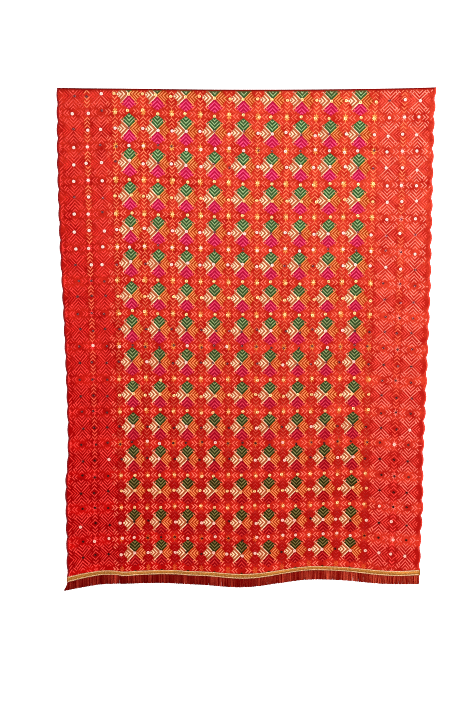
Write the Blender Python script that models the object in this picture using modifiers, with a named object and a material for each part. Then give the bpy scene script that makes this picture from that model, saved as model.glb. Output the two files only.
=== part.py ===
"""A phulkari shawl folded once across its middle and laid flat, right side out.

The embroidered cloth is one long panel. Its front half lies on top, rolls over at the fold and runs
on underneath as the back half. Each end has a gold braid sewn on its right side and a short thread
fringe below the braid. Metres, +Z up, +Y towards the fold, +X to the right as seen from above.
Places on the cut cloth are given as across, from its middle line, and along, from the front half's
middle row of motifs towards the fold.
"""

import math

import bmesh
import bpy

# The cut
half_width = 0.465            # from the middle line to the tips of the scallops
hem_along = -0.6405           # the front hem
cloth_thickness = 0.0012      # ground cloth and stitching together
scallops = 30                 # along one long side of one half
rows_per_scallop = 3
scallop_depth = 0.0055
scallop_band = 0.05           # how far in from the side the cloth follows the scallops

# The lie
seam_gap = 0.0003
layer_gap = 0.0005            # air between the two flat halves
fold_radius = 0.005           # outer radius of the soft roll at the fold
fold_sides = 8
fold_settle = 0.09            # how far from the fold the roll sinks back to the flat
fold_tuck = 0.03              # how far the front half's wall runs on underneath
back_shortfall = 0.012        # how far the back hem stays short of the front hem
origin_across = 0.0109        # the middle of the laid shawl, from the middle line
origin_along = -0.0342        # and from the middle row

# The trims
braid_width = 0.0125
braid_web = 0.0007            # thickness of the braid between its two edge cords
braid_cord = 0.0005           # how far the cords stand above the web
fringe_length = 0.0245
fringe_head = 0.003           # width of the strip that the strands hang from
front_strands = 104
back_strands = 60
strand_fill = 0.62            # share of the pitch that a strand's root takes
strand_waist = 0.7            # its size at the waist, against the root
waist_place = 0.55            # how far down the waist is
strand_unevenness = 0.06      # how much the strands' lengths differ
strand_swing = 0.0022         # how far a tip may hang to one side
strand_droop = 0.65           # how far a tip sinks from the root's height to its resting height
front_tip_height = 0.0030
back_tip_height = 0.0008
corner_flare = 0.011          # how far the front fringe fans out at the left corner
corner_flare_strands = 5      # over about this many strands

# The cloth lies a little higher where the back hem's braid is under it
trim_rise = 0.0016
back_rise_end = 0.028         # how far from the back hem the rise reaches
front_rise_end = 0.055

# The wall's points across the width, closer on the steep flanks
columns = (-0.465, -0.435, -0.40, -0.365, -0.335, -0.305, -0.27, -0.23, -0.18, -0.13, -0.07,
           -0.01, 0.05, 0.11, 0.17, 0.23, 0.29, 0.35, 0.41, 0.465)
back_columns = (-0.462, -0.42, -0.22, -0.03, 0.18, 0.42, 0.462)

# How the cloth lies askew, in metres at a place this far across and along
askew_place = (0.45, 0.60)
askew_across = {"shift": -0.0019, "lean": -0.0033, "bow": 0.0128, "twist": 0.0065, "narrowing": 0.0025}
askew_along = {"shift": -0.0008, "tilt": -0.0024, "bow": 0.0112, "twist": -0.0036, "stretch": -0.0029}

# How far the laid hem is from the cut's own curve: (across, offset along)
hem_wave = (
    (-0.465, -0.017), (-0.42, -0.005), (-0.36, 0.006), (-0.23, 0.011), (-0.11, 0.005), (0.0, -0.003),
    (0.11, 0.006), (0.18, 0.012), (0.27, 0.005), (0.36, -0.010), (0.465, -0.018),
)
hem_wave_reach = 0.10

# How far the long sides lie to the right of the cut's own curve: (along, left side, right side)
side_drift = (
    (-0.55, 0.0, 0.0), (-0.47, 0.0005, 0.003), (-0.40, 0.0015, 0.001), (-0.33, 0.009, 0.0),
    (-0.21, 0.0105, 0.002), (-0.05, 0.007, 0.0035), (0.10, 0.003, 0.005), (0.20, -0.001, 0.003),
    (0.41, -0.002, 0.0), (0.60, 0.002, -0.001),
)
side_drift_reach = 0.19       # how far in from the side it is felt

# Where the cloth is folded: (across, along)
fold_line = ((-0.465, 0.572), (-0.26, 0.5845), (0.0, 0.5945), (0.22, 0.600), (0.465, 0.6035))

# Soft ridges of the front half, highest at the hem:
# (across at the hem, across at the end, along at the end, height, left flank, right flank)
ridges = (
    (-0.295, -0.375, 0.38, 0.0130, 0.060, 0.120),
    (-0.470, -0.465, 0.10, 0.0070, 0.050, 0.070),
    (-0.135, -0.140, -0.10, 0.0045, 0.035, 0.075),
    (0.035, 0.030, -0.25, 0.0080, 0.090, 0.090),
    (0.070, 0.200, -0.12, 0.0035, 0.050, 0.060),
    (0.385, 0.400, 0.05, 0.0090, 0.110, 0.080),
    (0.415, 0.440, 0.52, 0.0030, 0.050, 0.035),
)

flat_top = 2 * cloth_thickness + layer_gap
rows = scallops * rows_per_scallop


def table_value(table, place, column=1):
    """A column's value at a place in a table whose rows start with a place, on a smooth curve."""
    place = min(max(place, table[0][0]), table[-1][0])
    last = len(table) - 1
    i = max(k for k in range(last) if table[k][0] <= place)
    before, start, end, after = table[max(i - 1, 0)], table[i], table[i + 1], table[min(i + 2, last)]
    span = end[0] - start[0]
    slope_in = (end[column] - before[column]) / (end[0] - before[0]) * span
    slope_out = (after[column] - start[column]) / (after[0] - start[0]) * span
    climb = end[column] - start[column]
    t = (place - start[0]) / span
    return (start[column] + slope_in * t + (3 * climb - 2 * slope_in - slope_out) * t ** 2
            + (slope_in + slope_out - 2 * climb) * t ** 3)


def soft_step(share):
    share = min(max(share, 0.0), 1.0)
    return share * share * (3 - 2 * share)


def mix(start, end, share):
    return tuple(a + (b - a) * share for a, b in zip(start, end))


def moved(point, direction, distance):
    return tuple(a + b * distance for a, b in zip(point, direction))


def unit(vector):
    size = math.sqrt(sum(c * c for c in vector))
    return tuple(c / size for c in vector)


def cross(a, b):
    return (a[1] * b[2] - a[2] * b[1], a[2] * b[0] - a[0] * b[2], a[0] * b[1] - a[1] * b[0])


def ridge_height(across, along):
    height = 0.0
    for at_hem, at_end, end, tall, left, right in ridges:
        climb = max(0.0, (along - hem_along) / (end - hem_along))
        middle = at_hem + (at_end - at_hem) * climb
        off = (across - middle) / (left if across < middle else right)
        height += tall * (1 - soft_step(climb)) * math.exp(-1.6 * off * off)
    return height


def laid(across, along):
    """Where a place on the cloth comes to lie, with the cloth's slight skew and its uneven hem."""
    a, b = across / askew_place[0], along / askew_place[1]
    m, n = askew_across, askew_along
    wave = table_value(hem_wave, across) * math.exp((hem_along - along) / hem_wave_reach)
    nearness = max(0.0, 1 - (half_width - abs(across)) / side_drift_reach) ** 2
    drift = nearness * table_value(side_drift, along, 1 if across < 0 else 2)
    x = (across + m["shift"] + m["lean"] * b + m["bow"] * a * a + m["twist"] * a * b
         - m["narrowing"] * a ** 5 * (1 + b) + drift)
    y = (along + n["shift"] + n["tilt"] * a + n["bow"] * a * a + n["twist"] * a * b
         + n["stretch"] * b * b + wave)
    return x - origin_across, y - origin_along


def scalloped(across, row):
    """Draws a place near a long side inwards between the scallops' tips."""
    lobe = abs(math.sin(math.pi * (row + 1) / rows_per_scallop)) / math.sin(math.pi / rows_per_scallop)
    nearness = max(0.0, 1 - (half_width - abs(across)) / scallop_band)
    return across - math.copysign(scallop_depth * (1 - lobe) * nearness, across)


def front_point(across, row):
    """A place on the front half's face. Row 0 is the hem, the last row the start of the roll."""
    across = scalloped(across, row)
    roll_along = table_value(fold_line, across) - fold_radius
    along = hem_along + (roll_along - hem_along) * row / rows
    x, y = laid(across, along)
    settled = soft_step((roll_along - along) / fold_settle)
    roll = (2 * fold_radius - flat_top) * (1 - settled)
    rise = trim_rise * (1 - soft_step((along - hem_along) / front_rise_end * 2 - 1))
    return x, y, flat_top + roll + rise + ridge_height(across, along) * settled


def tuck_end(x):
    """The straight line under the shawl where the front half's wall ends and the back half's begins."""
    left, right = front_point(-half_width, rows), front_point(half_width, rows)
    share = (x - left[0]) / (right[0] - left[0])
    return left[1] + (right[1] - left[1]) * share - fold_tuck


def front_sections():
    """Rows of points from the hem up to the fold, round the roll and on to the tuck underneath."""
    sections = [[front_point(c, row) for c in columns] for row in range(rows + 1)]
    roll_start = sections[-1]
    for k in range(1, fold_sides + 1):
        turn = math.pi * k / fold_sides
        out, height = fold_radius * math.sin(turn), fold_radius * (1 + math.cos(turn))
        sections.append([(x, y + out, height) for x, y, z in roll_start])
    for share in (0.5, 1.0):
        sections.append([(x, y + (tuck_end(x) - y) * share, 0.0) for x, y, z in roll_start])
    return sections


def back_sections():
    """Rows of points of the back half's face, which lies downwards, from the tuck to its hem."""
    sections = [[] for row in range(rows + 1)]
    for c in back_columns:
        top_y = tuck_end(front_point(c, rows)[0]) - seam_gap
        hem_y = front_point(c, 0)[1] + back_shortfall
        for row in range(rows + 1):
            x = front_point(c, rows - row)[0]
            y = top_y + (hem_y - top_y) * row / rows
            rise = trim_rise * (1 - soft_step((y - hem_y) / back_rise_end * 2 - 1))
            sections[row].append((x, y, rise))
    return sections


def material(name, colour, roughness, metallic=0.0):
    made = bpy.data.materials.new(name)
    made.use_nodes = True
    shader = made.node_tree.nodes["Principled BSDF"]
    shader.inputs["Base Color"].default_value = (*colour, 1.0)
    shader.inputs["Roughness"].default_value = roughness
    shader.inputs["Metallic"].default_value = metallic
    return made


def finished_object(name, work, surface, collection):
    mesh = bpy.data.meshes.new(name)
    work.to_mesh(mesh)
    work.free()
    mesh.materials.append(surface)
    made = bpy.data.objects.new(name, mesh)
    collection.objects.link(made)
    return made


def cloth_wall(name, sections, surface, collection):
    """A wall of cloth whose outer face runs through the sections."""
    work = bmesh.new()
    points = [[work.verts.new(p) for p in section] for section in sections]
    for lower, upper in zip(points, points[1:]):
        for k in range(len(lower) - 1):
            work.faces.new((lower[k], lower[k + 1], upper[k + 1], upper[k]))
    made = finished_object(name, work, surface, collection)
    wall = made.modifiers.new("thickness", "SOLIDIFY")
    wall.thickness = cloth_thickness
    wall.offset = -1
    wall.use_even_offset = True
    return made


def hem_station(sections, place, face):
    """A place on a wall's hem: the point, the way out past the hem and the way off the face.

    Sections start at the hem, and place counts columns from the left. Face is 1 where the wall's
    outer face lies upwards and -1 where it lies downwards.
    """
    k = min(int(place), len(sections[0]) - 2)
    point = mix(sections[0][k], sections[0][k + 1], place - k)
    inner = mix(sections[1][k], sections[1][k + 1], place - k)
    out = unit(tuple(a - b for a, b in zip(point, inner)))
    right = unit(tuple(b - a for a, b in zip(sections[0][k], sections[0][k + 1])))
    up = unit(cross(out, right))
    return point, out, tuple(c * face * math.copysign(1, up[2]) for c in up)


def place_across(section, share):
    """The place, in columns from the left, at a share of a section's width."""
    x = section[0][0] + (section[-1][0] - section[0][0]) * share
    k = max(i for i in range(len(section) - 1) if section[i][0] <= x)
    return k + (x - section[k][0]) / (section[k + 1][0] - section[k][0])


def braid(name, sections, face, surface, collection):
    """A flat braid on a wall's hem: a thin web with a cord along each edge."""
    top = seam_gap + braid_web
    profile = (
        (0.001, seam_gap), (0.999, seam_gap), (0.999, top), (0.86, top + braid_cord), (0.72, top),
        (0.28, top), (0.14, top + braid_cord), (0.001, top),
    )
    work = bmesh.new()
    rings = []
    for k in range(len(sections[0])):
        point, out, off = hem_station(sections, k, face)
        rings.append([work.verts.new(moved(moved(point, out, -braid_width * share), off, height))
                      for share, height in profile])
    for left, right in zip(rings, rings[1:]):
        for k in range(len(profile)):
            after = (k + 1) % len(profile)
            work.faces.new((left[k], left[after], right[after], right[k]))
    for end in (rings[0], rings[-1]):
        work.faces.new(end)
    bmesh.ops.recalc_face_normals(work, faces=work.faces)
    return finished_object(name, work, surface, collection)


def fringe(name, sections, face, strands, tip_height, flare, surface, collection):
    """A strip just outside a wall's hem, with strands grown from its outer side."""
    work = bmesh.new()
    stations = []
    for i in range(strands):
        for share in (0.5 - strand_fill / 2, 0.5 + strand_fill / 2):
            place = place_across(sections[0], (i + share) / strands)
            stations.append(hem_station(sections, place, face))
    rings = []
    for point, out, off in stations:
        near, far = moved(point, out, seam_gap), moved(point, out, seam_gap + fringe_head)
        through = tuple(-c for c in off)
        corners = (near, far, moved(far, through, cloth_thickness), moved(near, through, cloth_thickness))
        rings.append([work.verts.new(corner) for corner in corners])
    for i, (left, right) in enumerate(zip(rings, rings[1:])):
        for a, b in ((0, 1), (2, 3), (3, 0)):
            work.faces.new((left[a], left[b], right[b], right[a]))
        if i % 2:
            work.faces.new((left[1], left[2], right[2], right[1]))
        else:
            strand(work, (left[1], right[1], right[2], left[2]), stations[i][1], i // 2, tip_height, flare)
    for end in (rings[0], rings[-1]):
        work.faces.new(end)
    bmesh.ops.recalc_face_normals(work, faces=work.faces)
    return finished_object(name, work, surface, collection)


def strand(work, root, out, number, tip_height, flare):
    """One strand: slimmer half way down, pointed at its tip, each a little unlike the next."""
    middle = mix(mix(root[0].co, root[2].co, 0.5), mix(root[1].co, root[3].co, 0.5), 0.5)
    length = (fringe_length - fringe_head) * (1 - strand_unevenness * (1 - math.sin(number * 2.4)))
    swing = strand_swing * math.sin(number * 1.7) - flare * math.exp(-number / corner_flare_strands)
    tip_z = middle[2] + (tip_height - middle[2]) * strand_droop
    tip = (middle[0] + out[0] * length + swing, middle[1] + out[1] * length, tip_z)
    waist = mix(middle, tip, waist_place)
    ring = []
    for corner in root:
        at_waist = [w + (c - m) * strand_waist for w, c, m in zip(waist, corner.co, middle)]
        ring.append(work.verts.new(at_waist))
    point = work.verts.new(tip)
    for k in range(4):
        after = (k + 1) % 4
        work.faces.new((root[k], root[after], ring[after], ring[k]))
        work.faces.new((ring[k], ring[after], point))


def build():
    for old in list(bpy.data.objects):
        bpy.data.objects.remove(old, do_unlink=True)
    shawl = bpy.data.collections.new("phulkari_shawl")
    bpy.context.scene.collection.children.link(shawl)
    cloth = material("embroidered_cloth", (0.62, 0.040, 0.022), 0.6)
    gold = material("gold_braid", (0.58, 0.33, 0.10), 0.35, 0.6)
    thread = material("fringe_thread", (0.25, 0.012, 0.012), 0.6)

    front = front_sections()
    cloth_wall("front_half", front, cloth, shawl)
    braid("front_braid", front, 1, gold, shawl)
    fringe("front_fringe", front, 1, front_strands, front_tip_height, corner_flare, thread, shawl)

    back = back_sections()
    cloth_wall("back_half", back, cloth, shawl)
    braid("back_braid", back[::-1], -1, gold, shawl)
    fringe("back_fringe", back[::-1], -1, back_strands, back_tip_height, 0.0, thread, shawl)


build()
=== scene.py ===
import bpy
import math
import numpy as np
from mathutils import Matrix, Vector


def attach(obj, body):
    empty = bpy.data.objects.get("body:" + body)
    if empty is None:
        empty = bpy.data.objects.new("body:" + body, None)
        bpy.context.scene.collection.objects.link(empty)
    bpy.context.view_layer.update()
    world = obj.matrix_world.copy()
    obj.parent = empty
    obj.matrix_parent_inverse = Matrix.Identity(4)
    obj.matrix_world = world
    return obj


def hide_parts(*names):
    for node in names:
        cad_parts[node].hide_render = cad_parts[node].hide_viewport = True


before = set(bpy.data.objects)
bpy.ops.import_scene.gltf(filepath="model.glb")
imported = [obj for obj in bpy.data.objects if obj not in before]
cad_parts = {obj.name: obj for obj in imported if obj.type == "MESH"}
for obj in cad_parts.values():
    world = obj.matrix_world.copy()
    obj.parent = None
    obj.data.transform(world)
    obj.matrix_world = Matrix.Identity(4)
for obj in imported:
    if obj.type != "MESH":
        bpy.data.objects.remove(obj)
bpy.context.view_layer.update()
randomDraw = np.random.default_rng(41)
print("frame loaded:", len(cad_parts), "nodes")

# The cloth as it was cut and as it lies. Across runs from its middle line to the right, along from
# the front half's middle row of motifs towards the fold and on over it. Metres.
cloth = {
    "halfWidth": 0.465,           # to the scallops' tips
    "hemAlong": -0.6386,          # the front hem
    "scallopPitch": 0.041,
    "scallopDepth": (0.0038, 0.0055),    # on the left, on the right
    "scallopRound": 0.8,
    "scallopBand": 0.05,          # how far in the cloth follows them
    "flatTop": 0.0029,            # top of the two flat halves
    "foldRadius": 0.005,          # outer radius of the roll at the fold
    "foldSettle": 0.09,           # how far from the fold the roll sinks back to the flat
    "foldLine": (                 # (across, along)
        (-0.465, 0.572), (-0.26, 0.5845), (0.0, 0.5945), (0.22, 0.600), (0.465, 0.6035)),
    "backShortfall": 0.012,       # how far the back hem stays short of the front hem
    "trimRise": 0.0016,           # how much higher the cloth lies over the back hem's braid
    "backRiseEnd": 0.028,         # how far from the hem that rise reaches, on each half
    "frontRiseEnd": 0.055,
    "originAcross": 0.0109,       # the middle of the laid shawl, from the middle line
    "originAlong": -0.0342,       # and from the middle row
    "askewPlace": (0.45, 0.60),   # the askew terms below are in metres at this place
    "askewAcross": {"shift": -0.0019, "lean": -0.0033, "bow": 0.0128, "twist": 0.0065,
                    "narrowing": 0.0025},
    "askewAlong": {"shift": -0.0008, "tilt": -0.0024, "bow": 0.0112, "twist": -0.0036,
                   "stretch": -0.0029},
    "hemWave": (                  # (across, offset along)
        (-0.465, -0.0155), (-0.42, -0.0045), (-0.36, 0.0055), (-0.23, 0.0105), (-0.11, 0.0055),
        (0.0, -0.003), (0.11, 0.0065), (0.18, 0.012), (0.27, 0.0058), (0.36, -0.0070), (0.465, -0.0165)),
    "hemWaveReach": 0.10,         # how far up from the hem the wave dies away
    "sideDrift": (                # (along, left side, right side)
        (-0.55, -0.001, 0.0), (-0.47, -0.001, 0.003), (-0.40, -0.0005, 0.001), (-0.33, 0.0065, 0.0),
        (-0.21, 0.0075, 0.002), (-0.05, 0.0045, 0.0035), (0.10, 0.0005, 0.005), (0.20, -0.0025, 0.004),
        (0.41, -0.004, 0.002), (0.60, 0.0, 0.001)),
    "sideDriftReach": 0.19,       # how far in from the sides the drift dies away
    "ridges": (           # (across at hem, across at end, along at end, height, left flank, right flank)
        (-0.295, -0.375, 0.38, 0.0130, 0.060, 0.120),
        (-0.470, -0.465, 0.10, 0.0070, 0.050, 0.070),
        (-0.135, -0.140, -0.10, 0.0045, 0.035, 0.075),
        (0.035, 0.030, -0.25, 0.0080, 0.090, 0.090),
        (0.070, 0.200, -0.12, 0.0035, 0.050, 0.060),
        (0.385, 0.400, 0.05, 0.0090, 0.110, 0.080),
        (0.415, 0.440, 0.52, 0.0030, 0.050, 0.035),
        (-0.312, -0.420, -0.30, 0.0060, 0.014, 0.036)),    # a sharper wrinkle, not in the CAD
    "ridgeFall": 1.6,             # how steeply their flanks fall away
    "sheetThickness": 0.0007,
    "sheetSink": 0.0004,          # the crepe lies this far under the top of the stitching
    "columnRuns": (               # (from, to, steps), finer at the sharper wrinkle
        (-0.465, -0.44, 3), (-0.44, -0.28, 50), (-0.28, 0.465, 78)),
    "alongSteps": 126,            # on each half
    "rollSteps": 16,
    "creaseFrom": -0.0014,        # painted shade: the fold's edge is coloured dark where it rolls away from the light, and it is bare of stitches, from here
    "creaseShort": 0.001,         # it ends this far before the roll does
    "creaseFades": (0.0035, 0.003),    # how gently it comes and goes
    "rowDrift": (                 # (along, left border, right border): how the borders' rows slope
        (-0.64, -0.070, -0.100), (0.0, -0.075, -0.105), (0.12, -0.090, -0.100), (0.28, -0.100, -0.055),
        (0.36, -0.105, -0.040), (0.435, -0.102, -0.020), (0.52, -0.100, 0.0), (0.62, -0.100, 0.0)),
    "rowDriftFrom": 0.28,         # outside of this
}

# The embroidery's lattice, and how one stitch is shaped
lattice = {
    "shift": (0.0012, -0.0036),
    "columnPitch": 0.0705,
    "rowPitch": 0.082,
    "colouredColumns": range(0, 9),
    "columns": range(-2, 11),
    "middleColumn": 4,
    "middleRow": 7,
    "rows": range(-16, 16),
    "hemClear": 0.0075,           # no stitching under the braid
    "sideClear": 0.001,           # nor beyond this, inside the scallops' hollows
    "stitchHeight": 0.0003,
    "foldStitchHeight": 0.0002,
    "backStitchHeight": 0.0002,
    "stitchRoot": -0.0006,        # its foot, in the crepe
    "stitchPinch": 0.8,           # how wide its ends are, against its middle
    "shortest": 0.0015,
    "shiver": 0.00022,            # no stitch falls quite on its mark
    "widths": (0.9, 1.1),
}


def softStep(share):
    share = np.clip(share, 0.0, 1.0)
    return share * share * (3 - 2 * share)


def fromTable(table, place, column=1):  # a smooth curve through the rows of a table
    rows = np.array(table)
    places, values = rows[:, 0], rows[:, column]
    place = np.clip(place, places[0], places[-1])
    i = np.clip(np.searchsorted(places, place, side="right") - 1, 0, len(places) - 2)
    before, after = np.maximum(i - 1, 0), np.minimum(i + 2, len(places) - 1)
    span = places[i + 1] - places[i]
    slopeIn = (values[i + 1] - values[before]) / (places[i + 1] - places[before]) * span
    slopeOut = (values[after] - values[i]) / (places[after] - places[i]) * span
    climb = values[i + 1] - values[i]
    t = (place - places[i]) / span
    return (values[i] + slopeIn * t + (3 * climb - 2 * slopeIn - slopeOut) * t ** 2
            + (slopeIn + slopeOut - 2 * climb) * t ** 3)


def ridgeHeight(across, along):
    height = np.zeros_like(across)
    for atHem, atEnd, end, tall, left, right in cloth["ridges"]:
        climb = np.maximum(0.0, (along - cloth["hemAlong"]) / (end - cloth["hemAlong"]))
        middle = atHem + (atEnd - atHem) * climb
        off = (across - middle) / np.where(across < middle, left, right)
        height += tall * (1 - softStep(climb)) * np.exp(-cloth["ridgeFall"] * off * off)
    return height


def laid(across, along):
    a, b = across / cloth["askewPlace"][0], along / cloth["askewPlace"][1]
    m, n = cloth["askewAcross"], cloth["askewAlong"]
    wave = fromTable(cloth["hemWave"], across) * np.exp((cloth["hemAlong"] - along) / cloth["hemWaveReach"])
    nearness = np.maximum(0.0, 1 - (cloth["halfWidth"] - np.abs(across)) / cloth["sideDriftReach"]) ** 2
    leftDrift, rightDrift = (fromTable(cloth["sideDrift"], along, c) for c in (1, 2))
    x = (across + m["shift"] + m["lean"] * b + m["bow"] * a * a + m["twist"] * a * b
         - m["narrowing"] * a ** 5 * (1 + b) + nearness * np.where(across < 0, leftDrift, rightDrift))
    y = (along + n["shift"] + n["tilt"] * a + n["bow"] * a * a + n["twist"] * a * b
         + n["stretch"] * b * b + wave)
    return x - cloth["originAcross"], y - cloth["originAlong"]


def rollStart(across):
    return fromTable(cloth["foldLine"], across) - cloth["foldRadius"]


def backHem(across):  # how far along the cloth its back hem is
    return 2 * rollStart(across) - cloth["hemAlong"] + math.pi * cloth["foldRadius"] - cloth["backShortfall"]


def clothPlace(across, along):  # where a place on the cut cloth lies, on its outer face
    radius, hem = cloth["foldRadius"], cloth["hemAlong"]
    over = along - rollStart(across)
    turn = np.clip(over / radius, 0.0, math.pi)
    below = np.maximum(0.0, over - math.pi * radius)
    level = np.where(over <= 0, along, rollStart(across) - below)
    x, y = laid(across, level)
    settled = softStep(-over / cloth["foldSettle"])
    rise = cloth["trimRise"] * (1 - softStep((level - hem) / cloth["frontRiseEnd"] * 2 - 1))
    frontHeight = (cloth["flatTop"] + (2 * radius - cloth["flatTop"]) * (1 - settled) + rise
                   + ridgeHeight(across, level) * settled)
    backNear = (level - hem - cloth["backShortfall"]) / cloth["backRiseEnd"]
    backRise = cloth["trimRise"] * (1 - softStep(backNear * 2 - 1))
    backHeight = np.where(below > 0, backRise, radius * (1 + np.cos(turn)))
    y = y + np.where(over > 0, radius * np.sin(turn), 0.0)
    return np.stack([x, y, np.where(over <= 0, frontHeight, backHeight)], -1)


def clothNormal(across, along, reach=0.0004):
    right = clothPlace(across + reach, along) - clothPlace(across - reach, along)
    up = clothPlace(across, along + reach) - clothPlace(across, along - reach)
    normal = np.cross(right, up)
    return normal / np.linalg.norm(normal, axis=-1, keepdims=True)


def liftedPlace(across, along, lift):  # lift is one height or a height for each place
    return clothPlace(across, along) + clothNormal(across, along) * np.asarray(lift)[..., None]


def rowDrift(across, along):  # how far along the rows of stitching slip in the two borders
    slopes = [fromTable(cloth["rowDrift"], along, c) for c in (1, 2)]
    return np.where(across < 0, *slopes) * np.maximum(0.0, np.abs(across) - cloth["rowDriftFrom"])


def fromHem(side, across, inward):  # how far along the cloth a line is that runs inward of one hem
    if side == "Front":
        return np.full_like(across, cloth["hemAlong"]) + inward
    return backHem(across) - inward


def linear(hexColour):
    channels = [int(hexColour[i:i + 2], 16) / 255 for i in (1, 3, 5)]
    return tuple(c / 12.92 if c <= 0.04045 else ((c + 0.055) / 1.055) ** 2.4 for c in channels) + (1.0,)


def addNode(owner, kind, settings=None, links=None):  # settings and links go by socket name or number
    node = owner.node_tree.nodes.new("ShaderNode" + kind)
    for name, value in (settings or {}).items():
        if isinstance(name, int) or name in node.inputs:
            node.inputs[name].default_value = value
        else:
            setattr(node, name, value)
    for name, source in (links or {}).items():
        owner.node_tree.links.new(source, node.inputs[name])
    return node


def newMaterial(name, roughness, metallic=0.0, sheen=0.0, specular=0.5):
    material = bpy.data.materials.new(name)
    material.use_nodes = True
    shader = material.node_tree.nodes["Principled BSDF"]
    shader.inputs["Roughness"].default_value = roughness
    shader.inputs["Metallic"].default_value = metallic
    shader.inputs["Sheen Weight"].default_value = sheen
    shader.inputs["Specular IOR Level"].default_value = specular
    return material, shader


def finished(material, shader, colour, height=None, strength=0.3, distance=0.0001):  # colour and relief
    material.node_tree.links.new(colour, shader.inputs["Base Color"])
    if height is not None:
        relief = addNode(material, "Bump", {"Strength": strength, "Distance": distance}, {"Height": height})
        material.node_tree.links.new(relief.outputs["Normal"], shader.inputs["Normal"])
    return material


def clouds(material, vector, settings, lowest, highest):  # a noise, and its share between two levels
    noise = addNode(material, "TexNoise", settings, {"Vector": vector}).outputs["Fac"]
    share = addNode(material, "MapRange", {"From Min": lowest, "From Max": highest}, {"Value": noise})
    return noise, share.outputs["Result"]


# Painted light and shade: colours are painted lighter where light and sheen fall and darker where shade falls,
# the petals' from the fold down to the hem, the reds' from the upper right corner to the lower left, sooner in
# the two borders
paintedLightFall = {"petals": {"from": (0.0, 0.40), "to": (0.0, -0.38)},
            "reds": {"from": (0.43, 0.50), "to": (-0.52, -0.18)},
            "borders": {"from": (0.45, 0.47), "to": (-0.30, 0.05)}}


# the share of painted shade: 0 where a colour is painted lit, 1 where it is painted shaded
def paintedShadeOf(material, place, kind):
    start, end = (np.array(paintedLightFall[kind][k]) for k in ("from", "to"))
    slope = (end - start) / ((end - start) ** 2).sum()
    run = addNode(material, "VectorMath", {"operation": "DOT_PRODUCT", 1: (*slope, 0.0)},
                  {0: place["Object"]})
    depth = addNode(material, "Math", {"operation": "SUBTRACT", "use_clamp": True, 1: float(start @ slope)},
                    {0: run.outputs["Value"]})
    return depth.outputs[0]


# Silk floss, untwisted and satin-stitched: soft, long highlights along the thread, fine parallel filaments across
# it, and a dye that takes unevenly; its colour is painted lighter at the top and darker down the cloth and
# towards the lower left, as painted light and shade.
def flossMaterial(name, topColour, hemColour, kind="reds", roughness=0.42):
    material, shader = newMaterial(name, roughness, specular=0.16)
    place = addNode(material, "TexCoord").outputs
    dye = addNode(material, "Mix", {"data_type": "RGBA", 6: linear(topColour), 7: linear(hemColour)},
                  {0: paintedShadeOf(material, place, kind)})
    patches = clouds(material, place["Object"], {"Scale": 40.0, "Detail": 5.0, "Roughness": 0.8}, 0.42, 0.66)
    uneven = {"data_type": "RGBA", "blend_type": "MULTIPLY", 7: linear("#d8b0ac")}
    shaded = addNode(material, "Mix", uneven, {0: patches[1], 6: dye.outputs[2]})
    filaments = addNode(material, "TexWave",           # ridges 1 mm apart, coarse enough to show
                        {"Scale": 320.0, "Distortion": 1.5, "bands_direction": "X"}, {"Vector": place["UV"]})
    return finished(material, shader, shaded.outputs[2], filaments.outputs["Fac"])


# Crepe georgette dyed deep red, with the first, darker layer of floss laid over it: each petal's
# underlay has its own dye, and short slanting strokes fill the rest, except that in the motifs' rows
# they fade away towards the hem with the painted shade. All colours are painted lighter at the top and darker
# towards the hem and lower left, and the fold's edge is painted dark as shade. Charted by the cloth's own UV,
# which is in metres.
underlay = {                     # (which painted light and shade it follows, painted lit colour at the top, painted shaded colour at the hem)
    "green": ("petals", "#2e4c26", "#241e06"),
    "magenta": ("petals", "#a20e34", "#7c0208"),
    "cream": ("petals", "#a0502e", "#904020"),
    "orange": ("petals", "#98320c", "#8e2608"),
    "gaps": ("reds", "#a81a10", "#860204"),
    "strokes": ("reds", "#d84a30", "#bc0e0a"),
    "redGaps": ("reds", "#a01610", "#840204"),
    # painted shade: the dark red of the fold's edge, where the cloth rolls away from the light
    "creaseShade": ("reds", "#780a08", "#540406"),
}
underlayChart = {                # the petals' outlines are in shares of the lattice's pitches
    "upSlope": 0.68, "upEdge": 0.447, "sideSlope": 0.95, "sideSlack": 0.145, "sideEdge": 0.298,
    "strokePitch": 0.0016, "strokeFlanks": (0.0004, 0.0010), "swaysInColumn": 8,
    "rowReach": 0.35, "rowSharpness": 10.0, "weaveScale": 1400.0, "strokeHeight": 1.5}


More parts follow.
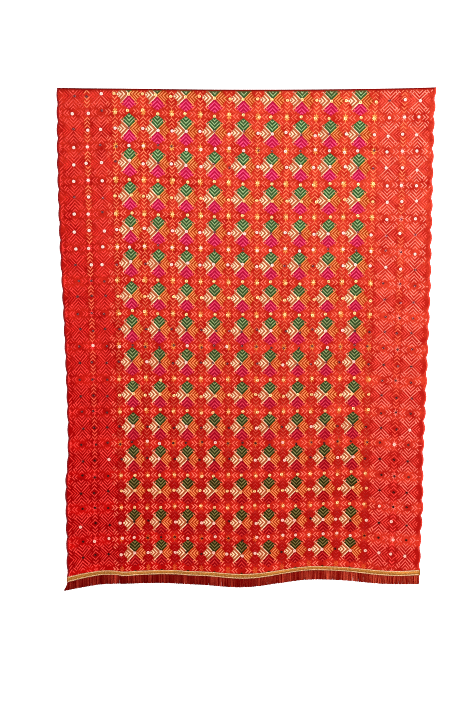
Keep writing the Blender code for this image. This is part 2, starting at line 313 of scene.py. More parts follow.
def groundMaterial():
    material, shader = newMaterial("crepeGround", 0.9, specular=0.0)
    place = addNode(material, "TexCoord").outputs
    split = addNode(material, "SeparateXYZ", {}, {0: place["UV"]})
    shadeShares = {kind: paintedShadeOf(material, place, kind) for kind in paintedLightFall}
    found = {"u": split.outputs["X"], "v": split.outputs["Y"], "depth": shadeShares["petals"]}
    chart, columnPitch, rowPitch = underlayChart, lattice["columnPitch"], lattice["rowPitch"]
    worksheet = (      # (result, operation, its terms): one motif's cell, folded on its middle lines
        ("across", "SUBTRACT", "u", lattice["shift"][0]), ("along", "SUBTRACT", "v", lattice["shift"][1]),
        ("column", "DIVIDE", "across", columnPitch), ("row", "DIVIDE", "along", rowPitch),
        ("a", "PINGPONG", "column", 0.5), ("b", "PINGPONG", "row", 0.5),
        ("columnPart", "FRACT", "column"), ("rowPart", "FRACT", "row"),
        ("rightSide", "LESS_THAN", "columnPart", 0.5), ("upperSide", "LESS_THAN", "rowPart", 0.5),
        ("armLine", "MULTIPLY", "a", motif["armRise"]), ("steep", "LESS_THAN", "armLine", "b"),
        ("upReach", "MULTIPLY_ADD", "a", chart["upSlope"], "b"),
        ("inUp", "LESS_THAN", "upReach", chart["upEdge"]),
        ("tipReach", "MULTIPLY_ADD", "b", chart["sideSlope"], "a"),
        ("tipSlack", "SUBTRACT", "tipReach", chart["sideSlack"]),
        ("sideReach", "MINIMUM", "tipSlack", "a"), ("inSide", "LESS_THAN", "sideReach", chart["sideEdge"]),
        ("upPetal", "MULTIPLY", "steep", "inUp"), ("flat", "SUBTRACT", 1.0, "steep"),
        ("sidePetal", "MULTIPLY", "flat", "inSide"), ("petal", "ADD", "upPetal", "sidePetal"),
        ("offMiddle", "ABSOLUTE", "across"),
        ("coloured", "LESS_THAN", "offMiddle", columnPitch * len(lattice["colouredColumns"]) / 2),
        ("worked", "MULTIPLY", "petal", "coloured"),
        ("sway", "PINGPONG", "across", columnPitch / chart["swaysInColumn"]),
        ("slant", "ADD", "along", "sway"), ("stroke", "PINGPONG", "slant", chart["strokePitch"]),
        ("towardsRow", "SUBTRACT", chart["rowReach"], "b"),
        ("rowRamp", "MULTIPLY", "towardsRow", chart["rowSharpness"]),
        ("inRow", "MINIMUM", "rowRamp", 1.0), ("rowShade", "MULTIPLY", "inRow", "depth"))
    for result, operation, *terms in worksheet:
        given = {k: term for k, term in enumerate(terms) if not isinstance(term, str)}
        linked = {k: found[term] for k, term in enumerate(terms) if isinstance(term, str)}
        found[result] = addNode(material, "Math", {"operation": operation, **given}, linked).outputs[0]
    # painted shade: each point's share of the fold edge's dark colour, read from the sheet
    creaseShade = addNode(material, "Attribute", {"attribute_name": "creaseShade"})
    dyes = {name: addNode(material, "Mix", {"data_type": "RGBA", 6: linear(top), 7: linear(hem)},
                          {0: shadeShares[kind]}).outputs[2] for name, (kind, top, hem) in underlay.items()}
    flanks = dict(zip(("From Min", "From Max"), chart["strokeFlanks"]))
    lines = addNode(material, "MapRange", flanks, {"Value": found["stroke"]})
    full = clouds(material, place["Object"], {"Scale": 24.0, "Detail": 4.0, "Roughness": 0.75}, 0.36, 0.6)
    strokes = addNode(material, "Math", {"operation": "MULTIPLY"}, {0: lines.outputs["Result"], 1: full[1]})
    for result, share, first, second in (("upright", "upperSide", "magenta", "green"),
                                         ("level", "rightSide", "cream", "orange"),
                                         ("petals", "steep", "level", "upright"),
                                         ("base", "coloured", "redGaps", "gaps"),
                                         ("filled", strokes.outputs[0], "base", "strokes"),
                                         ("banded", "rowShade", "filled", "base"),
                                         ("foldShadeInput", "worked", "banded", "petals"),
                                         # last, the ground is painted dark as shade along the fold's edge
                                         ("ground", creaseShade.outputs["Color"], "foldShadeInput", "creaseShade")):
        share = found[share] if isinstance(share, str) else share
        dyes[result] = addNode(material, "Mix", {"data_type": "RGBA"},
                               {0: share, 6: dyes[first], 7: dyes[second]}).outputs[2]
    weave = addNode(material, "TexVoronoi", {"Scale": chart["weaveScale"]}, {"Vector": place["UV"]})
    heights = addNode(material, "Math", {"operation": "MULTIPLY_ADD", 1: chart["strokeHeight"]},
                      {0: lines.outputs["Result"], 2: weave.outputs["Distance"]})
    return finished(material, shader, dyes["ground"], heights.outputs[0], 0.4, 0.0002)


# Metallised film on a polyester core, rolled into cord and braid: bright gold with brown depths.
def braidMaterial(name, lightColour, darkColour):
    material, shader = newMaterial(name, 0.5, metallic=0.6, specular=0.2)
    place = addNode(material, "TexCoord").outputs
    glints, share = clouds(material, place["Object"], {"Scale": 900.0, "Detail": 3.0}, 0.35, 0.65)
    tint = addNode(material, "Mix", {"data_type": "RGBA", 6: linear(darkColour), 7: linear(lightColour)},
                   {0: share})
    return finished(material, shader, tint.outputs[2], glints)


# Punched sequins of coated film: gold, pale ones whose diffuse white is a painted highlight for a sequin's white
# glint, and mirror that is as dark or bright as what it faces. All are painted darker towards the hem as shade.
# Smooth, with faint dimples.
def sequinMaterial(name, topColour, hemColour, metallic, roughness):
    material, shader = newMaterial(name, roughness, metallic=metallic)
    place = addNode(material, "TexCoord").outputs
    tint = addNode(material, "Mix", {"data_type": "RGBA", 6: linear(topColour), 7: linear(hemColour)},
                   {0: paintedShadeOf(material, place, "petals")})
    dimples = addNode(material, "TexNoise", {"Scale": 350.0, "Detail": 1.0}, {"Vector": place["Object"]})
    return finished(material, shader, tint.outputs[2], dimples.outputs["Fac"], 0.25, 0.0003)


# Rayon fringe thread, twisted and cut: a dense dark maroon with single brighter threads, in tufts. More of them
# are painted bright towards the right corner, as painted light from that side, and all its colours are painted
# lighter at the upper right and darker at the lower left.
rayon = {"threads": ((900.0, 12.0, 12.0), 0.46, 0.70), "tufts": ((34.0, 5.0, 5.0), 0.38, 0.66),
         "tuftShare": 0.45,
         # painted light: the share of bright threads grows towards the right, the lamp's side
         "litRightShare": {"From Min": -0.02, "From Max": 0.36, "To Min": 0.10, "To Max": 0.42},
         "colours": (("#980804", "#660002"), ("#ff8a60", "#f45840"))}    # maroon, then bright; each as painted lit at the upper right, then painted shaded at the lower left


def fringeMaterial():
    material, shader = newMaterial("rayonFringe", 0.8, specular=0.0)
    place = addNode(material, "TexCoord").outputs
    shares = []
    for scale, lowest, highest in (rayon["threads"], rayon["tufts"]):
        stretched = addNode(material, "Mapping", {"Scale": scale}, {"Vector": place["Object"]})
        shares.append(clouds(material, stretched.outputs["Vector"], {"Scale": 1.0, "Detail": 1.0},
                             lowest, highest)[1])
    split = addNode(material, "SeparateXYZ", {}, {0: place["Object"]})
    litRightShare = addNode(material, "MapRange", rayon["litRightShare"], {"Value": split.outputs["X"]})
    tufts = addNode(material, "Math", {"operation": "MULTIPLY_ADD", 1: rayon["tuftShare"]},
                    {0: shares[1], 2: litRightShare.outputs["Result"]})
    bright = addNode(material, "Math", {"operation": "MULTIPLY"}, {0: shares[0], 1: tufts.outputs[0]})
    depth = paintedShadeOf(material, place, "reds")
    dyes = [addNode(material, "Mix", {"data_type": "RGBA", 6: linear(right), 7: linear(left)}, {0: depth})
            for right, left in rayon["colours"]]
    tint = addNode(material, "Mix", {"data_type": "RGBA"},
                   {0: bright.outputs[0], 6: dyes[0].outputs[2], 7: dyes[1].outputs[2]})
    return finished(material, shader, tint.outputs[2])


def meshPiece(name, points, faces, material, uvs=None, flat=None):
    mesh = bpy.data.meshes.new(name)
    mesh.from_pydata(points.tolist(), [], faces)
    if uvs is not None:
        layer = mesh.uv_layers.new(name="UVMap")
        corners = np.empty(len(mesh.loops), dtype=np.int32)
        mesh.loops.foreach_get("vertex_index", corners)
        layer.data.foreach_set("uv", uvs[corners].astype(np.float32).ravel())
    smooth = np.ones(len(mesh.polygons), dtype=bool) if flat is None else ~np.asarray(flat)
    mesh.polygons.foreach_set("use_smooth", smooth)
    mesh.materials.append(material)
    mesh.update()
    piece = bpy.data.objects.new(name, mesh)
    bpy.context.scene.collection.objects.link(piece)
    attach(piece, "root")
    return piece


def tubeFaces(tubes, rings, sides):  # closed tubes, their points given tube by tube and ring by ring
    base = np.arange(tubes)[:, None] * rings * sides
    faces = []
    for k in range(rings - 1):
        for corner in range(sides):
            here, there = k * sides + corner, k * sides + (corner + 1) % sides
            faces += (base + np.array((here, there, there + sides, here + sides))).tolist()
    faces += (base + np.arange(sides)[::-1]).tolist()
    return faces + (base + np.arange(sides) + (rings - 1) * sides).tolist()


def drawnIn(across, along):  # the scallops draw the long sides in between their tips, on both halves
    beyond = along - rollStart(across)
    onBack = rollStart(across) - np.maximum(0, beyond - math.pi * cloth["foldRadius"])
    level = np.where(beyond > 0, onBack, along)
    lobe = np.abs(np.sin(math.pi * level / cloth["scallopPitch"])) ** cloth["scallopRound"]
    nearness = np.maximum(0.0, 1 - (cloth["halfWidth"] - np.abs(across)) / cloth["scallopBand"])
    return across - np.sign(across) * np.where(across < 0, *cloth["scallopDepth"]) * (1 - lobe) * nearness


# The sheet: one thin closed shell through the whole folded cloth
def makeSheet():
    half, turns = cloth["alongSteps"], cloth["rollSteps"]
    runs = [np.linspace(start, end, steps, endpoint=False) for start, end, steps in cloth["columnRuns"]]
    across = np.concatenate(runs + [[cloth["halfWidth"]]])
    start, end = rollStart(across), backHem(across)
    hem, roll = cloth["hemAlong"], math.pi * cloth["foldRadius"]
    frontRows = [hem + (start - hem) * i / half for i in range(half)]
    rollRows = [start + roll * i / turns for i in range(turns)]
    backRows = [start + roll + (end - start - roll) * i / half for i in range(half + 1)]
    along = np.stack(frontRows + rollRows + backRows)
    across = np.broadcast_to(across, along.shape)
    drawn = drawnIn(across, along)
    outer = liftedPlace(drawn, along, -cloth["sheetSink"])
    inner = liftedPlace(drawn, along, -cloth["sheetSink"] - cloth["sheetThickness"])
    points = np.concatenate([outer.reshape(-1, 3), inner.reshape(-1, 3)])
    number = np.arange(along.size).reshape(along.shape)
    a, b, c, d = number[:-1, :-1], number[:-1, 1:], number[1:, 1:], number[1:, :-1]
    faces = np.stack([a, b, c, d], -1).reshape(-1, 4).tolist()
    faces += (np.stack([d, c, b, a], -1).reshape(-1, 4) + along.size).tolist()
    for edge, flip in ((number[:, 0], False), (number[:, -1], True), (number[0], True), (number[-1], False)):
        other = edge + along.size
        strip = [edge[:-1], edge[1:], other[1:], other[:-1]]
        faces += np.stack(strip[::-1] if flip else strip, -1).tolist()
    uvs = np.stack([drawn, along - rowDrift(drawn, along)], -1).reshape(-1, 2)
    piece = meshPiece("foldedCloth", points, faces, groundMaterial(), np.concatenate([uvs, uvs]))
    # painted shade: a share for each point that rises over the fold's edge, where the cloth rolls away from the
    # light, kept as a colour attribute
    over = (along - rollStart(across)).reshape(-1)
    fadeIn, fadeOut = cloth["creaseFades"]
    shade = softStep((over - cloth["creaseFrom"]) / fadeIn)
    shade = shade * softStep((roll - cloth["creaseShort"] - over) / fadeOut)
    foldShadeInput = piece.data.color_attributes.new("creaseShade", "FLOAT_COLOR", "POINT")
    foldShadeInput.data.foreach_set("color", np.repeat(np.concatenate([shade, shade]), 4).astype(np.float32))
    return piece


# Every stitch is a low closed ridge: a foot in the crepe, a crown along the middle, lower ends.
# Only its two slopes are smooth, so that they meet in a rounded crown.
def stitches(name, starts, ends, widths, material, height, lift=0.0, root=lattice["stitchRoot"],
             crown=(0.35, 1.0, 0.35)):
    run = ends - starts
    length = np.linalg.norm(run, axis=1, keepdims=True)
    side = np.stack([-run[:, 1], run[:, 0]], 1) / length
    spots, uvSpots = [], []
    for k, rise in enumerate(crown):
        share = k / (len(crown) - 1)
        middle = starts + run * share
        narrow = lattice["stitchPinch"] if k in (0, len(crown) - 1) else 1.0
        half = side * (widths[:, None] / 2 * narrow)
        for place, high, across in ((middle + half, root, 1), (middle, lift + height * rise, 0),
                                    (middle - half, root, -1)):
            spots.append(liftedPlace(place[:, 0], place[:, 1], high))
            uvSpots.append(np.stack([across * widths / 2, length[:, 0] * share], -1))
    points = np.stack(spots, 1).reshape(-1, 3)
    uvs = np.stack(uvSpots, 1).reshape(-1, 2)
    flat = np.repeat([False, False, True] * (len(crown) - 1) + [True, True], len(starts))
    return meshPiece(name, points, tubeFaces(len(starts), len(crown), 3), material, uvs, flat)


# The chart, in shares of the lattice's pitches from a motif's middle. Each petal is a row of
# chevrons that open away from the middle: their apexes, how far out the petal's edge is, how fast it
# closes in on them, and the stripe's width in millimetres.
petals = {
    "up": {"apexes": (0.120, 0.230, 0.340), "edge": 0.445, "closing": 1.56, "stripe": 3.3},
    "down": {"apexes": (0.120, 0.237, 0.352), "edge": 0.435, "closing": 1.34, "stripe": 3.8},
    "left": {"apexes": (0.150, 0.277, 0.385), "edge": 0.445, "closing": 1.95, "stripe": 4.1},
    "right": {"apexes": (0.098, 0.205, 0.325), "edge": 0.455, "closing": 1.95, "stripe": 3.2},
}
redPetals = {                    # the same in the borders' motifs
    "up": {"apexes": (0.115, 0.22, 0.325), "edge": 0.46, "closing": 1.56, "stripe": 3.1},
    "down": {"apexes": (0.115, 0.22, 0.325), "edge": 0.45, "closing": 1.50, "stripe": 3.1},
    "left": {"apexes": (0.110, 0.220, 0.330), "edge": 0.45, "closing": 1.80, "stripe": 3.0},
    "right": {"apexes": (0.110, 0.220, 0.330), "edge": 0.45, "closing": 1.80, "stripe": 3.0},
}
motif = {"armNear": 0.005, "armReach": 0.295, "armRise": 0.88, "armWidth": 3.4, "overlap": 0.016,
         "threads": {True: ("green", "magenta", "cream", "orange"),       # coloured, then in the borders
                     False: ("coral", "coral", "scarlet", "scarlet")},
         "armThreads": {True: ("cream", "cream", "yellow", "orange"), False: ("coral",) * 4}}
smallMotif = {"apexes": (0.145, 0.255, 0.365), "sideApexes": (0.15, 0.265), "halfWidth": 0.105,
              "sideNarrowing": 0.02, "stripe": 3.1, "starNear": 0.0010, "starReach": (0.0068, 0.0095),
              "starWidth": 3.1, "fill": (0.30, 0.42, 0.54),       # slanting lines, how far out they lie
              "fillSpread": 0.06, "fillBetween": (0.115, 0.31), "fillLeast": 0.015}
wayOf = {"up": (0, 1), "down": (0, -1), "left": (-1, 0), "right": (1, 0)}


def chevron(thread, way, apex, opening, width):  # two stitches that meet a little past the apex
    over = motif["overlap"]
    u, v = wayOf[way]
    chart = []
    for hand in (-1, 1):
        if u == 0:
            chart.append((thread, -hand * over, v * (apex - over), hand * opening,
                          v * (apex + opening * motif["armRise"]), width))
        else:
            chart.append((thread, u * (apex - over), -hand * over, u * (apex + opening),
                          hand * opening * motif["armRise"], width))
    return chart


def motifChart(coloured):
    names = dict(zip(wayOf, motif["threads"][coloured]))
    near, reach, rise = motif["armNear"], motif["armReach"], motif["armReach"] * motif["armRise"]
    chart = [(thread, hand * near, turn * near, hand * reach, turn * rise, motif["armWidth"])
             for thread, (hand, turn) in zip(motif["armThreads"][coloured], ((-1, 1), (-1, -1), (1, 1), (1, -1)))]
    for way, petal in (petals if coloured else redPetals).items():
        for apex in petal["apexes"]:
            opening = (petal["edge"] - apex) / petal["closing"]
            chart += chevron(names[way], way, apex, opening, petal["stripe"])
    return chart


def starChart(coloured, upright):  # the small star between four motifs, its chevrons, and slanting fill
    star, level = ("yellow", "vermilion") if coloured else ("coral", "coral")
    near, reach = smallMotif["starNear"], smallMotif["starReach"]
    chart = []
    for k in range(8):
        c = math.cos(math.pi / 4 * k) / lattice["columnPitch"]
        s = math.sin(math.pi / 4 * k) / lattice["rowPitch"]
        chart.append((star, near * c, near * s, reach[0] * c, reach[1] * s, smallMotif["starWidth"]))
    for way in wayOf:
        apexes, thread, narrowing = ((smallMotif["apexes"], upright, 0.0) if way in ("up", "down") else
                                     (smallMotif["sideApexes"], level, smallMotif["sideNarrowing"]))
        for k, apex in enumerate(apexes):
            opening = smallMotif["halfWidth"] - narrowing * k
            chart += chevron(thread, way, apex, opening, smallMotif["stripe"])
    inner, outer = smallMotif["fillBetween"]    # from the star's chevrons out to the petals' edges
    for hand in (-1, 1):
        for turn in (-1, 1):
            for total in smallMotif["fill"]:
                middle = total / 2
                spread = min(smallMotif["fillSpread"], middle - inner, outer - middle)
                if spread > smallMotif["fillLeast"]:
                    chart.append((level, hand * (middle - spread), turn * (middle + spread),
                                  hand * (middle + spread), turn * (middle - spread), smallMotif["stripe"]))
    return chart


threads = {                      # (which painted light and shade it follows, painted lightest, painted darkest)
    "green": ("petals", "#98b880", "#7c6c38"),
    "magenta": ("petals", "#ea4678", "#c2221c"),
    "cream": ("petals", "#fcdcb8", "#facca4"),
    "orange": ("petals", "#f89458", "#f88c52"),
    "yellow": ("petals", "#f4ac58", "#d8501e"),
    "tangerine": ("petals", "#fa8058", "#b01410"),
    "paprika": ("petals", "#fc8458", "#ec3c34"),
    "vermilion": ("reds", "#f87458", "#fa6e58"),
    "coral": ("borders", "#ff907a", "#ea3832"),
    "scarlet": ("borders", "#f05444", "#de2620"),
}


def latticePlace(column, row):
    across, along = lattice["shift"]
    return ((column - lattice["middleColumn"]) * lattice["columnPitch"] + across,
            (lattice["middleRow"] - row) * lattice["rowPitch"] + along)


def gatherStitches():  # by thread and by where on the folded cloth they lie
    gathered = {name: [] for name in threads}
    coloured, columns = lattice["colouredColumns"], lattice["columns"]
    for row in lattice["rows"]:
        for column in columns:
            place = latticePlace(column, row)
            for thread, *chart in motifChart(column in coloured):
                gathered[thread].append((*place, *chart))
        for column in range(columns.start, columns.stop + 1):
            place = latticePlace(column - 0.5, row + 0.5)
            off = max(coloured.start - column, column - coloured.stop)    # columns out from the field
            upright = "tangerine" if off <= 0 else "paprika" if off == 1 else "coral"
            for thread, *chart in starChart(off <= 0, upright):
                gathered[thread].append((*place, *chart))
    pitches = np.array([lattice["columnPitch"], lattice["rowPitch"]])
    limit = cloth["halfWidth"] - max(cloth["scallopDepth"]) - lattice["sideClear"]
    hemClear, rollLength, bareFrom = lattice["hemClear"], math.pi * cloth["foldRadius"], cloth["creaseFrom"]
    sets = {}
    for name, rowsOf in gathered.items():
        table = np.array(rowsOf)
        start = table[:, :2] + table[:, 2:4] * pitches
        end = table[:, :2] + table[:, 4:6] * pitches
        shiver = randomDraw.normal(0, lattice["shiver"], (len(table), 4))
        start, end = start + shiver[:, :2], end + shiver[:, 2:]
        for place in (start, end):
            place[:, 1] += rowDrift(place[:, 0], place[:, 1])
        for fixed, moved in ((start, end), (end, start)):          # cut short where the fold's edge is bare
            overFixed, overMoved = (p[:, 1] - rollStart(p[:, 0]) for p in (fixed, moved))
            bare = (overFixed < bareFrom) & (overMoved > bareFrom)
            share = (bareFrom - overFixed[bare]) / (overMoved - overFixed)[bare]
            moved[bare] = fixed[bare] + (moved - fixed)[bare] * share[:, None]
        width = table[:, 6] / 1000 * randomDraw.uniform(*lattice["widths"], len(table))
        both = np.stack([start, end])
        onCloth = ((np.abs(both[..., 0]) < limit) & (both[..., 1] > cloth["hemAlong"] + hemClear)
                   & (both[..., 1] < backHem(both[..., 0]) - hemClear)).all(0)
        over = both[..., 1] - rollStart(both[..., 0])
        onFront, onBack = (over < 0).all(0), (over > rollLength).all(0)
        short = np.linalg.norm(end - start, axis=1) < lattice["shortest"]
        # short stitches, and those lying on the fold's edge, which is left bare under its painted shade
        dropped = short | (over > bareFrom).all(0) & (over < rollLength).any(0)
        for part, chosen in (("front", onFront), ("fold", ~onFront & ~onBack), ("back", onBack)):
            keep = onCloth & chosen & ~dropped
            sets[part, name] = (start[keep], end[keep], width[keep])
    return sets


def makeEmbroidery():
    finishes = {name: flossMaterial(name + "Floss", *colours, kind=kind)
                for name, (kind, *colours) in threads.items()}
    shape = {"front": {"height": lattice["stitchHeight"]},
             "fold": {"height": lattice["foldStitchHeight"], "crown": (0.5,) + (1.0,) * 5 + (0.5,)},
             "back": {"height": lattice["backStitchHeight"], "lift": -lattice["backStitchHeight"],
                      "crown": (1.0, 1.0)}}      # pressed flat against the surface
    made = []
    for (part, name), (start, end, width) in gatherStitches().items():
        if len(start):
            made.append(stitches(part + name.capitalize() + "Stitches", start, end, width, finishes[name],
                                 **shape[part]))
    print("embroidery:", sum(len(p.data.polygons) for p in made), "faces")
    return made


# One sequin, modelled once: a cupped disc with a punched middle and a rolled rim
sequin = {"radius": 0.0039, "rim": 0.0009, "holeRadius": 0.0006, "thickness": 0.00035, "cup": 0.0004,
          "sides": 14}


def sequinPattern():
    bpy.ops.object.select_all(action="DESELECT")
    bpy.ops.mesh.primitive_circle_add(vertices=sequin["sides"], radius=sequin["radius"], fill_type="NGON")
    disc = bpy.context.object
    bpy.ops.object.mode_set(mode="EDIT")
    bpy.ops.mesh.select_all(action="SELECT")
    bpy.ops.mesh.inset(thickness=sequin["rim"], depth=0.0)
    bpy.ops.mesh.inset(thickness=sequin["radius"] - sequin["rim"] - sequin["holeRadius"], depth=-sequin["cup"])
    bpy.ops.mesh.delete(type="FACE")
    bpy.ops.object.mode_set(mode="OBJECT")
    wall = disc.modifiers.new("thickness", "SOLIDIFY")
    wall.thickness = sequin["thickness"]
    wall.offset = -1
    bpy.ops.object.modifier_apply(modifier=wall.name)
    points = np.array([v.co for v in disc.data.vertices])
    faces = [list(p.vertices) for p in disc.data.polygons]
    bpy.data.objects.remove(disc, do_unlink=True)
    return points, faces


def placedCopies(name, points, faces, spot, tilts, material, lift, spin):
    normal = clothNormal(spot[:, 0], spot[:, 1])
    right = np.cross(np.tile((0.0, 1.0, 0.0), (len(normal), 1)), normal)
    right /= np.linalg.norm(right, axis=1, keepdims=True)
    ahead = np.cross(normal, right)
    tilted = normal + right * tilts[:, :1] + ahead * tilts[:, 1:]
    tilted /= np.linalg.norm(tilted, axis=1, keepdims=True)
    first = right * np.cos(spin)[:, None] + ahead * np.sin(spin)[:, None]
    first -= tilted * (first * tilted).sum(1, keepdims=True)
    first /= np.linalg.norm(first, axis=1, keepdims=True)
    second = np.cross(tilted, first)
    basis = np.stack([first, second, tilted], 1)
    moved = np.einsum("pk,nkx->npx", points, basis)
    moved += (clothPlace(spot[:, 0], spot[:, 1]) + normal * lift)[:, None]
    shift = np.arange(len(spot)) * len(points)
    allFaces = [[v + int(s) for v in face] for s in shift for face in faces]
    return meshPiece(name, moved.reshape(-1, 3), allFaces, material)


# Gold ones lie in the field's rows named here, and on the back half by their place in threes. The
# others are pale ones whose white is a painted glint, with a share of mirrors that goes by the row.
goldRows = {0, 0.5, 2.5, 3, 3.5, 5.5, 6, 6.5, 8.5, 9, 9.5, 11.5, 12, 12.5, 14.5}
sequinKinds = {
    "gold": {"topColour": "#f4bc7a", "hemColour": "#e4a068", "metallic": 0.5, "roughness": 0.3},
    # painted highlight: a pale diffuse colour in place of the white glint
    "glintWhite": {"topColour": "#e2c2b8", "hemColour": "#dca090", "metallic": 0.1, "roughness": 0.4},
    "mirror": {"topColour": "#84484c", "hemColour": "#381614", "metallic": 1.0, "roughness": 0.2},
}
mirrorShare = {                  # (row, share)
    "inField": ((0, 0.25), (3, 0.3), (5, 0.5), (7, 0.75), (11, 0.75), (13, 0.35), (15, 0.3)),
    "inBorder": ((0, 0.25), (4, 0.3), (6, 0.85), (11, 0.9), (13, 0.55), (15, 0.5))}
sequinScatter = {"halfRows": range(-32, 31), "halfColumns": range(-4, 21), "field": (-0.5, 8.5),
                 "off": 0.0020, "mostOff": 0.0042, "tilt": {"front": 0.10, "back": 0.0},
                 "lift": {"front": 0.0011, "back": -0.0002}, "size": {"gold": 1.0, "glintWhite": 1.0, "mirror": 0.76},
                 "sideClear": 0.011, "hemClear": 0.030, "foldClear": (0.001, 0.004)}    # front, back


def makeSequins():
    points, faces = sequinPattern()
    finishes = {kind: sequinMaterial(kind + "Sequin", **settings) for kind, settings in sequinKinds.items()}
    spots = {kind: [] for kind in sequinKinds}
    scatter = sequinScatter
    for halfRow in scatter["halfRows"]:
        row = halfRow / 2
        for halfColumn in scatter["halfColumns"]:
            column = halfColumn / 2
            inBorder = column < scatter["field"][0] or column > scatter["field"][1]
            goldRow = (row if row >= 0 else -row % 3) in goldRows
            table = mirrorShare["inBorder" if inBorder else "inField"]
            silver = "mirror" if randomDraw.random() < fromTable(table, row) else "glintWhite"
            spots["gold" if goldRow and not inBorder else silver].append(latticePlace(column, row))
    limit, hemClear = cloth["halfWidth"] - scatter["sideClear"], scatter["hemClear"]
    made = []
    for kind, placed in spots.items():
        spot = np.array(placed)
        off = randomDraw.normal(0, scatter["off"], spot.shape)
        spot += np.clip(off, -scatter["mostOff"], scatter["mostOff"])
        spot[:, 1] += rowDrift(spot[:, 0], spot[:, 1])
        tilt = randomDraw.normal(0, 1.0, spot.shape)
        spin = randomDraw.uniform(0, math.tau, len(spot))
        over = spot[:, 1] - rollStart(spot[:, 0])
        front = (over < scatter["foldClear"][0]) & (spot[:, 1] > cloth["hemAlong"] + hemClear)
        back = (over > math.pi * cloth["foldRadius"] + scatter["foldClear"][1]) & (
            spot[:, 1] < backHem(spot[:, 0]) - hemClear)
        for side, onSide in (("front", front), ("back", back)):
            chosen = onSide & (np.abs(spot[:, 0]) < limit)
            made.append(placedCopies(side + kind.capitalize() + "Sequins", points * scatter["size"][kind], faces,
                                     spot[chosen], tilt[chosen] * scatter["tilt"][side], finishes[kind],
                                     scatter["lift"][side], spin[chosen]))
    print("sequins:", sum(len(p.data.polygons) for p in made) // len(faces))
    return made


# The rim: close overlock stitches over the scalloped edges of both halves, in maroon on the left as painted shade
# on the edge turned away from the light, and red on the right, where the light falls
rim = {"spacing": 0.0017, "inward": 0.0042, "overEdge": 0.0003, "slant": 0.0006, "fullness": 1.15,
       "height": 0.0003, "crown": (0.3, 1.0, 0.6), "endClear": 0.002, "roughness": 0.5,
       # painted shade: the left rim's maroon; the right rim's red is the lit colour
       "left": ("#8c0a14", "#74060e"), "right": ("#e84a34", "#d02a1c")}


def makeRim(name, hand):
    side = hand * cloth["halfWidth"]
    end = float(backHem(np.array([side]))[0])
    along = np.arange(cloth["hemAlong"] + rim["endClear"], end - rim["endClear"], rim["spacing"])
    edge = drawnIn(np.full(len(along), side), along)
    starts = np.stack([edge - hand * rim["inward"], along - rim["slant"]], 1)
    ends = np.stack([edge + hand * rim["overEdge"], along + rim["slant"]], 1)
    widths = np.full(len(starts), rim["spacing"] * rim["fullness"])
    floss = flossMaterial(name + "EdgeFloss", *rim[name], roughness=rim["roughness"])
    return stitches(name + "OverlockedRim", starts, ends, widths, floss, rim["height"], lift=-rim["height"],
                    crown=rim["crown"])


# The braid: a flat woven web, a rolled cord along each edge and a plait of gold thread between them.
# A cord or a plait is a row of short strands, each from one distance inward of the hem to another.
braid = {"width": 0.0122, "endClear": 0.0015, "webColumns": 220, "webShares": (0.02, 0.5, 0.98),
         "webHeight": 0.00054, "heights": {"Front": (0.0002, 0.0011), "Back": (0.0001, 0.0009)},
         "webColours": ("#b06c1c", "#74400c"), "crown": (0.75, 1.0, 0.75)}    # heights: underside, top
strands = {
    "cords": {"runs": ((0.000286, 0.002886), (0.009314, 0.011914)), "turn": 0.0022, "lean": 0.0012,
              "width": 0.00242, "endClear": 0.002, "rise": 1.0, "finish": ("goldCord", "#ffdcb4", "#ecb888")},
    "plait": {"runs": ((0.00854, 0.00366), (0.00366, 0.00854)), "turn": 0.0034, "lean": 0.0014,
              "width": 0.0013, "endClear": 0.003, "rise": 0.9, "finish": ("goldPlait", "#e0a864", "#a06834")},
}


def makeBraid(side):
    under, top = braid["heights"][side]
    limit = cloth["halfWidth"] - braid["endClear"]
    across = np.linspace(-limit, limit, braid["webColumns"])
    shares = braid["webShares"]
    corners = [(share, under) for share in shares]
    corners += [(share, under + braid["webHeight"]) for share in shares[::-1]]
    edges = [liftedPlace(across, fromHem(side, across, braid["width"] * share), high)
             for share, high in corners]
    web = meshPiece("web" + side, np.stack(edges, 1).reshape(-1, 3), tubeFaces(1, len(across), len(corners)),
                    braidMaterial("goldWeb" + side, *braid["webColours"]))
    bpy.ops.object.select_all(action="DESELECT")
    web.select_set(True)
    bpy.context.view_layer.objects.active = web
    bpy.ops.object.mode_set(mode="EDIT")
    bpy.ops.mesh.select_all(action="SELECT")
    bpy.ops.mesh.normals_make_consistent(inside=False)
    bpy.ops.object.mode_set(mode="OBJECT")
    made = [web]
    for name, strand in strands.items():
        reach = limit - strand["endClear"]
        a = np.arange(-reach, reach, strand["turn"])
        starts, ends = (np.concatenate([np.stack([a + hand * strand["lean"], fromHem(side, a, run[k])], 1)
                                        for run in strand["runs"]]) for k, hand in enumerate((-1, 1)))
        metal, *colours = strand["finish"]
        made.append(stitches(name + side, starts, ends, np.full(len(starts), strand["width"]),
                             braidMaterial(metal + side, *colours), top * strand["rise"], root=under,
                             crown=braid["crown"]))
    return made


# The fringe: fine threads hanging from the hem, drooping to the surface, in two layers
fringe = {"length": 0.0272, "lengths": (0.97, 1.02), "pitch": 0.00070, "radius": 0.00060, "sides": 3,
          "stations": ((0.0, 1.0), (0.3, 1.0), (0.6, 1.0), (0.92, 1.0), (1.0, 0.35)),    # (how far, how thick)
          "layers": 2, "layerStep": 0.0003, "endClear": 0.002, "scatter": 0.0002, "splay": 0.0003,
          "flare": 0.011, "flareReach": 0.035,      # how far the front left corner fans out
          "rootIn": 0.001, "rootLift": -0.0006, "headingIn": 0.006, "droop": 0.68,
          "tipHeights": {"Front": (0.0012, 0.0032), "Back": (0.0005, 0.0009)}}


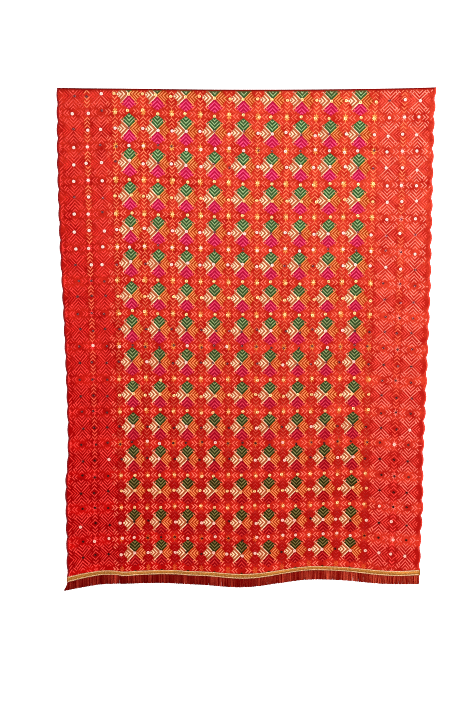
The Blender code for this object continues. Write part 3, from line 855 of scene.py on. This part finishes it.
def makeFringe(side):
    limit = cloth["halfWidth"] - fringe["endClear"]
    shares, thickness = np.array(fringe["stations"]).T
    paths = []
    for layer in range(fringe["layers"]):
        a = np.arange(-limit, limit, fringe["pitch"]) + layer * fringe["pitch"] / 2
        a = np.clip(a + randomDraw.normal(0, fringe["scatter"], len(a)), -limit, limit)
        lift = fringe["rootLift"] + fringe["layerStep"] * layer
        root = liftedPlace(a, fromHem(side, a, fringe["rootIn"]), lift)
        out = root - liftedPlace(a, fromHem(side, a, fringe["headingIn"]), fringe["rootLift"])
        out[:, 2] = 0
        out /= np.linalg.norm(out, axis=1, keepdims=True)
        length = fringe["length"] * randomDraw.uniform(*fringe["lengths"], len(a))
        splay = randomDraw.normal(0, fringe["splay"], len(a))
        if side == "Front":
            splay -= fringe["flare"] * np.exp(-(a + limit) / fringe["flareReach"])
        tipHeight = randomDraw.uniform(*fringe["tipHeights"][side], len(a))
        line = []
        for share in shares:
            p = root + out * (length * share)[:, None]
            p[:, 0] += splay * share ** 1.5
            p[:, 2] = root[:, 2] + (tipHeight - root[:, 2]) * (fringe["droop"] * share ** 1.3)
            line.append(p)
        paths.append(np.stack(line, 1))
    path = np.concatenate(paths)
    sides = fringe["sides"]
    turns = math.tau * np.arange(sides) / sides + math.pi / 2
    section = np.stack([np.cos(turns), np.zeros(sides), np.sin(turns)], 1)
    radii = fringe["radius"] * thickness
    points = path[:, :, None] + section * radii[:, None, None]      # thread, station, corner
    faces = tubeFaces(len(path), len(shares), sides)
    return meshPiece("fringe" + side, points.reshape(-1, 3), faces, fringeMaterial())


# Stage: a pale floor, a big soft light from the upper right and a room that is darker overhead,
# where the camera is, so that tilted sequins turn white or dark
camera = {"lens": 53.8, "place": (-0.2329, 0.2836, 2.6205), "axis": (0.0759, -0.1147, -0.9905),
          "up": (-0.0005, 0.9934, -0.1151)}
lamps = {"upperRight": {"place": (2.1, -0.15, 3.6), "size": 1.2, "power": 148.0},
         "left": {"place": (-2.4, -0.2, 1.8), "size": 1.6, "power": 34.0}}
room = {"strength": 1.36, "heights": ((0.0, 0.9), (0.6, 0.9), (0.8, 0.25), (0.95, 0.12), (1.0, 0.04))}
sweep = {"size": 12, "sink": 0.0002, "paleness": 0.9, "glow": 0.6}    # glows, as the photo has no shadow


def makeStage():
    bpy.ops.object.select_all(action="DESELECT")
    bpy.ops.mesh.primitive_plane_add(size=sweep["size"], location=(0, 0, -sweep["sink"]))
    floor = bpy.context.object
    floor.name = "paleFloor"
    material, shader = newMaterial("matteWhiteSweep", 0.9)
    shader.inputs["Base Color"].default_value = (sweep["paleness"],) * 3 + (1,)
    shader.inputs["Emission Color"].default_value = (1, 1, 1, 1)
    shader.inputs["Emission Strength"].default_value = sweep["glow"]
    floor.data.materials.append(material)
    for name, lamp in lamps.items():
        light = bpy.data.lights.new(name, "AREA")
        light.size = lamp["size"]
        light.energy = lamp["power"]
        shone = bpy.data.objects.new(name, light)
        bpy.context.scene.collection.objects.link(shone)
        shone.location = lamp["place"]
        shone.rotation_euler = (-Vector(lamp["place"])).to_track_quat("-Z", "Y").to_euler()
    world = bpy.data.worlds.new("softRoom")
    world.use_nodes = True
    direction = addNode(world, "TexCoord")
    split = addNode(world, "SeparateXYZ", {}, {0: direction.outputs["Generated"]})
    brightness = addNode(world, "ValToRGB", {}, {"Fac": split.outputs["Z"]})
    stops = brightness.color_ramp.elements
    while len(stops) < len(room["heights"]):
        stops.new(0.5)
    for stop, (height, value) in zip(stops, room["heights"]):
        stop.position = height
        stop.color = (value, value, value, 1)
    background = world.node_tree.nodes["Background"]
    world.node_tree.links.new(brightness.outputs["Color"], background.inputs["Color"])
    background.inputs["Strength"].default_value = room["strength"]
    bpy.context.scene.world = world
    eye = bpy.data.cameras.new("overhead")
    eye.sensor_width = 36
    eye.lens = camera["lens"]
    seen = bpy.data.objects.new("overhead", eye)
    bpy.context.scene.collection.objects.link(seen)
    axis, up = Vector(camera["axis"]).normalized(), Vector(camera["up"])
    right = axis.cross(up).normalized()
    up = right.cross(axis).normalized()
    seen.matrix_world = Matrix.Translation(camera["place"]) @ Matrix((right, up, -axis)).transposed().to_4x4()
    bpy.context.scene.camera = seen
    bpy.context.scene.view_settings.view_transform = "Standard"
    bpy.context.scene.cycles.filter_width = 1.0      # as crisp as the photo
    bpy.context.scene.cycles.use_denoising = False   # it would smear the stitches
    print("stage set:", len(lamps), "lamps")


sheet = makeSheet()
print("sheet:", len(sheet.data.polygons), "faces")
stitching = makeEmbroidery()
sequins = makeSequins()
rims = [makeRim("left", -1), makeRim("right", 1)]
braids = {side: makeBraid(side) for side in ("Front", "Back")}
fringes = {side: makeFringe(side) for side in ("Front", "Back")}
print("braids and fringes made")

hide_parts("front_half", "back_half")
for side in ("Front", "Back"):
    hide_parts(side.lower() + "_braid")
    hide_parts(side.lower() + "_fringe")
makeStage()
